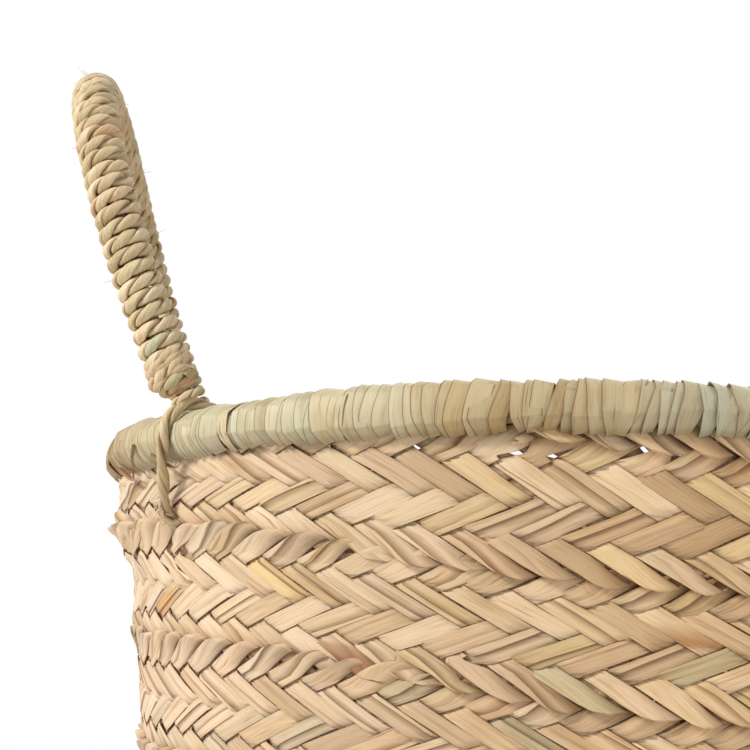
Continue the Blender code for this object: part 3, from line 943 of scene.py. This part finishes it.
def wrap_skin(random, azimuth, tint):
    """One turn of the leaf strip round the rim, one edge lying over the turn beside it."""
    creases = np.linspace(WRAP_FROM, WRAP_TO, WRAP_CREASES)
    bundle = 0.25 * np.sin(np.arange(1, WRAP_CREASES - 1) * 2.4 + 5 * azimuth)
    creases[1:-1] += bundle + random.uniform(-0.10, 0.10, WRAP_CREASES - 2)
    angles = np.sort([*np.linspace(WRAP_FROM, WRAP_TO, 26), *(creases[1:-1] - 0.03), *(creases[1:-1] + 0.03)])
    flats = (1 - WRAP_FLATNESS) * BINDING_RADIUS + WRAP_FLATNESS * creased(angles, creases, BINDING_RADIUS)
    across, under = np.array(WRAP_OUTLINE), np.array(WRAP_UNDER)
    width = WRAP_WIDTH * random.uniform(0.70, 1.30)
    loose = looseness(azimuth)
    over = random.choice([1.0, -0.6], p=[0.90, 0.10])
    lift = -WRAP_LIFT * (1 + 0.6 * loose) * over * across - WRAP_THICKNESS * under
    bumps = (1 + loose) * random.normal(0, WRAP_UNEVENNESS, WRAP_CREASES)
    uneven = np.interp(angles, creases, bumps)[:, None]
    swell = RIM_SWELL * (math.sin(9 * azimuth + 1) + math.sin(23 * azimuth + 2)) / 2
    radius = flats[:, None] - WRAP_LIFT / 2 + lift + uneven + swell + random.normal(0, WRAP_UNEVENNESS)
    slant = WRAP_SLANT * random.uniform(-0.2, 1.6) * (ease((angles + math.pi / 2) / math.pi) - 0.5)
    bend = np.interp(angles, creases, random.normal(0, 0.07 * WRAP_WIDTH, WRAP_CREASES))
    taper = 1 - random.uniform(0.1, 0.45) * ease((np.abs(angles - math.pi / 2) - 1.8) / 1.1)
    places = azimuth + ((slant + bend)[:, None] + across * width * taper[:, None]) / RIM_RADIUS
    points = rim_points(places, angles[:, None], radius)
    along = angles[:, None] * BINDING_RADIUS + random.uniform(0, 9)
    fibre = fibre_place(along, across * width + random.uniform(0, 9), random.uniform(0, 99))
    edge = np.array(WRAP_SHADE)
    # Painted shade in the cracks between loosely lying turns
    edge[[1, 2, 4, 5]] += 0.30 * loose
    # Painted shade where the turn's ends go in under the rim against the wall
    low = 0.35 * ease((np.abs(angles - math.pi / 2) - 2.35) / 0.5)
    return {"points": points, "tint": tint, "fibre": fibre, "edge": np.clip(edge + low[:, None], 0, 1)}


def rim_tint(random, azimuth):
    """Green leaf, brown in places and pale in others, a little different at each turn."""
    degrees = math.degrees(azimuth)
    brown = np.interp(degrees, RIM_AZIMUTHS, RIM_BROWN_SHARES, period=360)
    pale = np.interp(degrees, RIM_AZIMUTHS, RIM_PALE_SHARES, period=360)
    tint = towards(np.array(RIM_GREEN), RIM_SAGE, random.random())
    tint = towards(tint, RIM_PALE, np.clip(pale + random.normal(0, 0.15), 0, 1))
    tint = towards(tint, RIM_BROWN, np.clip(brown + random.normal(0, 0.18), 0, 1))
    return tint * random.uniform(0.93, 1.05)


def rim_tail(places, width, colour):
    """A loose end of the rim's strip, lying on the wall under the rim."""
    knots = np.array(places)
    share = np.linspace(0, len(knots) - 1, 12)
    degrees, depth, offset = (np.interp(share, np.arange(len(knots)), column) for column in knots.T)
    points = smoothed(wall_points(np.radians(degrees), depth, offset), 12, 3)
    return fibre_skin(points, width / 2, np.array(colour))


def make_rim(material):
    random = np.random.default_rng(RIM_SEED)
    skins = []
    for wrap in range(WRAPS):
        azimuth = math.tau * (wrap + random.uniform(-0.32, 0.32)) / WRAPS
        skins.append(wrap_skin(random, azimuth, rim_tint(random, azimuth)))
    skins += [rim_tail(*tail) for tail in zip(TAIL_PLACES, TAIL_WIDTHS, TAIL_COLOURS)]
    mesh_object("rim_wrapping", skins, material, "basket", "rim_binding")


def uneven_along(random, run, size, stretch):
    """A smooth random course along a run."""
    knots = np.arange(0, run[-1] + 2 * stretch, stretch)
    return np.interp(run, knots, random.normal(0, size, len(knots)))


def ply_skin(random, route, face, run, start, diameter, lay, width_share, colours):
    """One ply of a cord, twisted to the left round the cord's route."""
    ahead = heading(route)
    normal = unit(face - (face * ahead).sum(axis=1)[:, None] * ahead)
    other = np.cross(ahead, normal)
    turned = start - math.tau * run / lay + uneven_along(random, run, 0.30, lay / 2)
    out = turned_from(normal, other, turned)
    middle = route + PLY_REACH_SHARE * diameter * out
    course = heading(middle)
    out = unit(out - (out * course).sum(axis=1)[:, None] * course)
    aside = np.cross(course, out)
    around = np.linspace(0, math.tau, 10, endpoint=False)
    thick = PLY_THICKNESS_SHARE * np.cos(around)[None, :, None] * out[:, None]
    wide = width_share * np.sin(around)[None, :, None] * aside[:, None]
    plump = diameter * (1 + uneven_along(random, run, 0.06, TWIST_PITCH / 3))
    points = middle[:, None] + plump[:, None, None] * (thick + wide)
    knots = np.arange(0, run[-1] + 0.05, 2 * TWIST_PITCH)
    picks = random.choice(len(colours), len(knots))
    shades = np.array([np.array(colours[pick]) * random.uniform(0.9, 1.06) for pick in picks])
    tint = np.stack([np.interp(run, knots, shades[:, channel]) for channel in range(3)], axis=-1)
    along = run[:, None] + random.uniform(0, 9)
    fibre = fibre_place(along, around * diameter * 0.3 + 0.25 * run[:, None], random.uniform(0, 99))
    # Painted shade on the ply's inner side, where it presses against the other ply
    shade = np.clip(0.1 - np.cos(around), 0, 1) * 0.65
    return {"points": points, "tint": tint[:, None, :], "fibre": fibre, "edge": shade}


def cord_skins(random, route, face, diameter, lay, width_share, colours):
    """A two-ply cord along a route: face points away from what the cord lies on."""
    run = run_along(route)
    shape = diameter, lay, width_share
    return [ply_skin(random, route, face, run, start, *shape, colours) for start in (0, math.pi)]


def fibre_skin(points, radius, tint):
    """A thin three-sided fibre along some points, pointed at its far end."""
    ahead = heading(points)
    side = unit(np.cross(ahead, np.array([0.31, 0.22, 0.92])))
    other = np.cross(ahead, side)
    turn = np.arange(3) * math.tau / 3
    around = turned_from(side[:, None], other[:, None], turn)
    thin = radius * np.linspace(1, 0.25, len(points))[:, None, None]
    ring = points[:, None] + thin * around
    return {"points": ring, "tint": tint, "fibre": ring + 1.0, "edge": 0.0}


def stray_fibre(random, root, out):
    """A short fibre that has come loose and curls away from where it is rooted."""
    share = np.linspace(0, 1, 6)[:, None]
    length = FIBRE_LENGTH * random.uniform(0.4, 1.3)
    first = unit(0.8 * out + random.normal(0, 0.55, 3))
    curl = unit(random.normal(0, 1, 3))
    points = root + length * (share * first + 0.45 * share**2 * curl)
    return fibre_skin(points, FIBRE_RADIUS, np.array(FIBRE_COLOURS[random.choice(len(FIBRE_COLOURS))]))


def handle_place(across, along):
    """A place on the left handle's middle surface, from its hinge: it leans out and curls back up."""
    out = along * math.sin(HANDLE_LEAN) - HANDLE_CURL_SHARE * along**2 / HANDLE_RISE
    return np.array([-out, across, along * math.cos(HANDLE_LEAN)])


def handle_route():
    """The loop's middle line from one end of the winding, over the crown, to the other."""
    power = 2 / HANDLE_ROUNDNESS
    loop = [handle_place(-HANDLE_HALF_SPAN, WINDING_FOOT)]
    for angle in np.linspace(0, math.pi, 240):
        side = -math.copysign(abs(math.cos(angle)) ** power, math.cos(angle))
        along = HANDLE_SHOULDER + (HANDLE_RISE - HANDLE_SHOULDER) * abs(math.sin(angle)) ** power
        loop.append(handle_place(side * HANDLE_HALF_SPAN, along))
    return np.array(loop + [handle_place(HANDLE_HALF_SPAN, WINDING_FOOT)])


def winding_skins(random):
    """The cord wound round the loop, turn touching turn."""
    count = CORD_TURNS * CORD_STEPS_A_TURN
    middle = smoothed(handle_route(), count + 1, CORD_STEPS_A_TURN)
    ahead = heading(middle)
    side = unit(np.cross(ahead, LEAN_AXIS))
    face = np.cross(side, ahead)
    turn = np.arange(count + 1) * math.tau / CORD_STEPS_A_TURN
    out = turned_from(side, face, -turn)
    reach = HANDLE_RADIUS - CORD_DIAMETER / 2
    shift = uneven_along(random, turn, TURN_UNEVENNESS, math.radians(200))
    route = middle + reach * out + shift[:, None] * ahead
    colours = CORD_COLOURS * 5 + ODD_CORD_COLOURS
    skins = cord_skins(random, route, out, CORD_DIAMETER, TWIST_PITCH, PLY_WIDTH_SHARE, colours)
    loose_places = random.integers(int(0.08 * count), int(0.92 * count), HANDLE_FIBRES)
    return skins + [stray_fibre(random, route[place], out[place]) for place in loose_places]


def foot_skins(random, end):
    """Rough crossed turns of the cord at one foot."""
    foot = end * HANDLE_HALF_SPAN
    axis = unit(handle_place(foot, KNOT_TOP) - handle_place(foot, KNOT_TIP))
    side = unit(np.cross(axis, LEAN_AXIS))
    face = np.cross(side, axis)
    skins = []
    for height, reach, tilt, phase in FOOT_TURNS:
        turn = np.linspace(0, math.tau * 1.1, 64) + phase
        out = turned_from(side, face, turn)
        rise = tilt * np.sin(turn - 0.7 * phase)
        route = handle_place(foot, height) + reach * out + rise[:, None] * axis
        skins += cord_skins(random, route, out, CORD_DIAMETER, FOOT_LAY, FOOT_PLY_WIDTH_SHARE, FOOT_COLOURS)
    return skins


def placed(skins, turned, hinge):
    """The skins moved from the left handle's own axes to the model's."""
    sign = -1.0 if turned else 1.0
    for skin in skins:
        skin["points"] = skin["points"] * np.array([sign, sign, 1.0]) + hinge
    return skins


def make_handles(material):
    centre, _ = rim_frame(np.array(math.pi + FOOT_ANGLE))
    for side, turned in (("left", False), ("right", True)):
        random = np.random.default_rng(23 + turned)
        hinge = np.array([-centre[0] if turned else centre[0], 0.0, centre[2]])
        body = f"handle_{side}"
        skins = placed(winding_skins(random), turned, hinge)
        mesh_object(f"cord_{side}_winding", skins, material, body, f"handle_{side}_winding")
        for end in (-1, 1):
            place = "front" if (end < 0) != turned else "back"
            skins = placed(foot_skins(random, end), turned, hinge)
            name = f"handle_{side}_knot_{place}"
            mesh_object(f"cord_{side}_foot_{place}", skins, material, body, name)


def lashing_route(foot, toward_middle):
    """Up inside the wall at the handle's foot, over the rim and slanting down outside to the first join."""
    lift = LASHING_DIAMETER / 2
    over = BINDING_RADIUS + lift - LASHING_SINK
    stand_off = HALF_THICKNESS + lift
    inner_end = join_depth(foot)
    depths = np.linspace(inner_end, LASHING_INNER_TOP, 8)
    inside_angle = foot - toward_middle * LASHING_STEP_ASIDE
    inside = wall_points(inside_angle, depths, -stand_off * ease((inner_end - depths) / 0.004 + 0.2))
    angles = np.radians(np.linspace(*LASHING_ARCH_DEGREES, 30))
    aside = toward_middle * LASHING_STEP_ASIDE * (1 - angles / math.radians(90))
    arch = rim_points(foot + aside, angles, over)
    outside_angle = foot + toward_middle * LASHING_SLANT
    outer_end = join_depth(outside_angle) - LASHING_END
    depths = np.linspace(LASHING_OUTER_TOP, outer_end, 9)
    out = ease((outer_end - depths) / 0.005)
    outside = wall_points(outside_angle, depths, -LASHING_SINK + (stand_off + LASHING_SINK) * out)
    return np.vstack([inside, arch, outside])


def lashing_frays(random, plies):
    """Loose fibres at the lower end of a lashing, where it goes into the join."""
    frays = []
    for _ in range(LASHING_FIBRES):
        ply = plies[random.integers(len(plies))]["points"]
        ring = ply[random.integers(len(ply) - 16, len(ply) - 5)]
        root = ring.mean(axis=0)
        outward = root * np.array([1.0, 1.0, 0.0])
        away = unit(0.6 * unit(outward) + np.array([0.0, 0.0, -0.8]))
        frays.append(stray_fibre(random, root + 0.4 * LASHING_DIAMETER * unit(outward), away))
    return frays


def smoothed(points, count, rounds):
    """The route in even steps, its corners eased by repeated averaging."""
    points = evenly_along(points, count)
    for _ in range(rounds):
        points[1:-1] = (points[:-2] + 2 * points[1:-1] + points[2:]) / 4
    return points


def turned_by(points, angle):
    cosine, sine = math.cos(angle), math.sin(angle)
    x, y, z = points[..., 0], points[..., 1], points[..., 2]
    return np.stack([x * cosine - y * sine, x * sine + y * cosine, z], axis=-1)


def make_lashings(material):
    for side, middle in (("left", math.pi), ("right", math.tau)):
        for end in (-1, 1):
            place = "back" if (end < 0) != (side == "right") else "front"
            random = np.random.default_rng(61 + end + 5 * (side == "right"))
            foot = math.pi + end * FOOT_ANGLE
            route = smoothed(lashing_route(foot, -end), 130, 8)
            centre, outward = rim_frame(np.array(foot))
            below = route - centre
            below[:, 2] = np.maximum(below[:, 2], 0)
            face = unit(below + 0.002 * np.sign(below @ outward)[:, None] * outward)
            route, face = turned_by(route, middle - math.pi), turned_by(face, middle - math.pi)
            cord = LASHING_DIAMETER, LASHING_LAY, LASHING_PLY_WIDTH_SHARE, LASHING_COLOURS
            skins = cord_skins(random, route, face, *cord)
            skins += lashing_frays(random, skins)
            name = f"lashing_{side}_{place}"
            mesh_object("cord_" + name, skins, material, "basket", name)


def start_strip(random, aside, width, half, first_side, along_x):
    """One strip of the start patch, passing over and under the strips that cross it."""
    run = np.linspace(-half, half, 60)
    outline, heights = leaf_outline(np.full(60, random.uniform(-0.2, 0.2)), 0.0, 0.5 * LEAF_CROWN)
    across = aside + 0.98 * width * outline
    along = np.broadcast_to(run[:, None], across.shape)
    weave = first_side * np.cos(math.pi * (run / width + 0.5))
    layer = np.tanh(2.5 * weave)[:, None]
    x, y = (along, across) if along_x else (across, along)
    tucked = ease((np.hypot(x, y) / half - 0.8) / 0.2)
    offset = (0.8 * MIDDLE_OFFSET * layer + heights) * (1 - 0.6 * tucked)
    points = np.stack([x, y, np.maximum(HALF_THICKNESS - offset, LEAF_THICKNESS / 2)], axis=-1)
    fibre = drawn_fibre(random, along, across)
    # Edge: browned cut edges and painted shade, as on the wall's leaves
    return {"points": points, "tint": straw_colour(random), "fibre": fibre, "edge": edge_shade(0.0, random)}


def start_skins(random):
    """A woven patch of crossing strips in the middle of the base, where both plaits begin."""
    reach, strips = START_RADIUS + MIDDLE_OFFSET * 4, 9
    width = 2 * reach / strips
    skins = []
    for along_x in (False, True):
        for strip in range(strips):
            aside = (strip + 0.5) * width - reach
            half = math.sqrt(max(reach**2 - aside**2, (0.35 * reach) ** 2))
            side = 1 if (strip + along_x) % 2 else -1
            skins.append(start_strip(random, aside, width, half, side, along_x))
    return skins


def make_start(material):
    skins = start_skins(np.random.default_rng(3))
    mesh_object("leaf_start_patch", skins, material, "basket", "plait_start_disc")


def dress_hidden_reed(material):
    for name in ("rim_hoop", "handle_left_core", "handle_right_core"):
        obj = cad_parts[name]
        for slot in obj.material_slots:
            slot.material = material


def reed_material():
    material, shader, tree = new_material("reed", 0.6)
    place = add_node(tree, "TexCoord").outputs["Object"]
    noise = add_node(tree, "TexNoise", Scale=220, Vector=place).outputs["Fac"]
    feed(tree, shader, Base_Color=ramp(tree, noise, REED_STOPS))
    add_bump(tree, shader, noise, 1.0, 0.0002)
    return material


def main():
    make_camera()
    make_light()
    make_floor()
    straw, rim, cord = (leaf_material(name, *look) for name, look in LEAF_LOOKS.items())
    make_plaits(straw)
    make_start(straw)
    make_rim(rim)
    make_handles(cord)
    make_lashings(cord)
    dress_hidden_reed(reed_material())


main()
